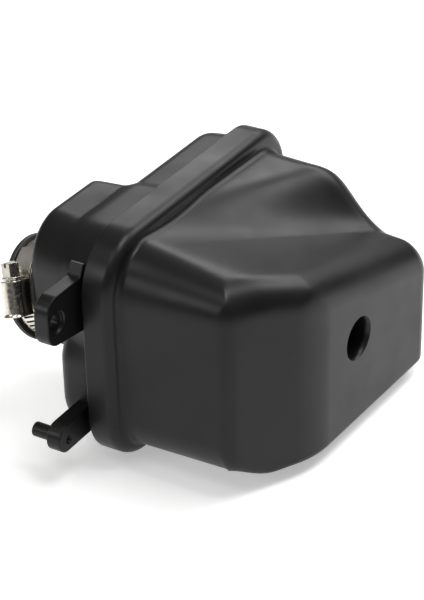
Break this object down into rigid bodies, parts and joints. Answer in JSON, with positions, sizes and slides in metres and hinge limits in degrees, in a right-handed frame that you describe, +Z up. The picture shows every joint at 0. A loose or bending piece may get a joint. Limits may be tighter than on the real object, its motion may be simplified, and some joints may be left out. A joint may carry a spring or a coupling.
{
  "type": "air filter housing",
  "caption": "Moulded small-engine air filter housing with a bolted cover, pleated element with foam, mounting ears and a rubber outlet joint with a worm-drive clamp.",
  "frame": {"origin": "middle of the bounding box in X and Y, at the level of the skirt's underside", "axes": "+X is the way the cover pulls off, along the cover bolt; +Z is up as the housing stands; +Y is away from the two mounting ears"},
  "size_m": [0.1388, 0.1564, 0.1],
  "materials": {
    "black_plastic": "satin injection-moulded black plastic with a fine grain",
    "grey_plastic": "plain moulded dark grey plastic",
    "black_rubber": "smooth black rubber",
    "stainless_steel": "bright rolled and pressed stainless steel",
    "zinc_steel": "bright zinc-plated steel",
    "brass": "turned brass",
    "polyurethane": "soft moulded polyurethane",
    "filter_paper": "resin-treated filter paper",
    "foam": "open-cell reticulated foam"
  },
  "bodies": {
    "housing": {"case": "black_plastic", "case_insert": "brass", "support_grid": "grey_plastic", "support_screw_1": "zinc_steel", "support_screw_2": "zinc_steel", "outlet_joint": "black_rubber", "backfire_screen": "stainless_steel", "clamp_band": "stainless_steel", "clamp_housing": "stainless_steel"},
    "element": {"element_frame": "polyurethane", "pleated_paper": "filter_paper", "prefilter_foam": "foam"},
    "lid": {"cover": "black_plastic", "cover_seal": "black_rubber", "retainer_grid": "grey_plastic", "inlet_snorkel": "black_rubber", "inlet_screen": "stainless_steel", "bolt_washer": "zinc_steel"},
    "bolt": {"cover_bolt": "zinc_steel", "captive_ring": "black_rubber"},
    "screw": {"clamp_screw": "zinc_steel"}
  },
  "joints": [
    {"name": "cover_slide", "type": "slide", "parent": "housing", "child": "lid", "axis": [1, 0, 0], "range_m": [0, 0.09]},
    {"name": "element_slide", "type": "slide", "parent": "housing", "child": "element", "axis": [1, 0, 0], "range_m": [0, 0.04]},
    {"name": "bolt_turn", "type": "hinge", "parent": "lid", "child": "bolt", "pos_m": [0.02035, 0.01225, 0.045], "axis": [1, 0, 0], "continuous": true},
    {"name": "clamp_screw_turn", "type": "hinge", "parent": "housing", "child": "screw", "pos_m": [-0.05808, -0.04351, 0.05731], "axis": [-0.2711, 0.2588, 0.9271], "continuous": true}
  ],
  "couplings": [
    {"joint": "element_slide", "follows": "cover_slide", "ratio": 0.444}
  ]
}
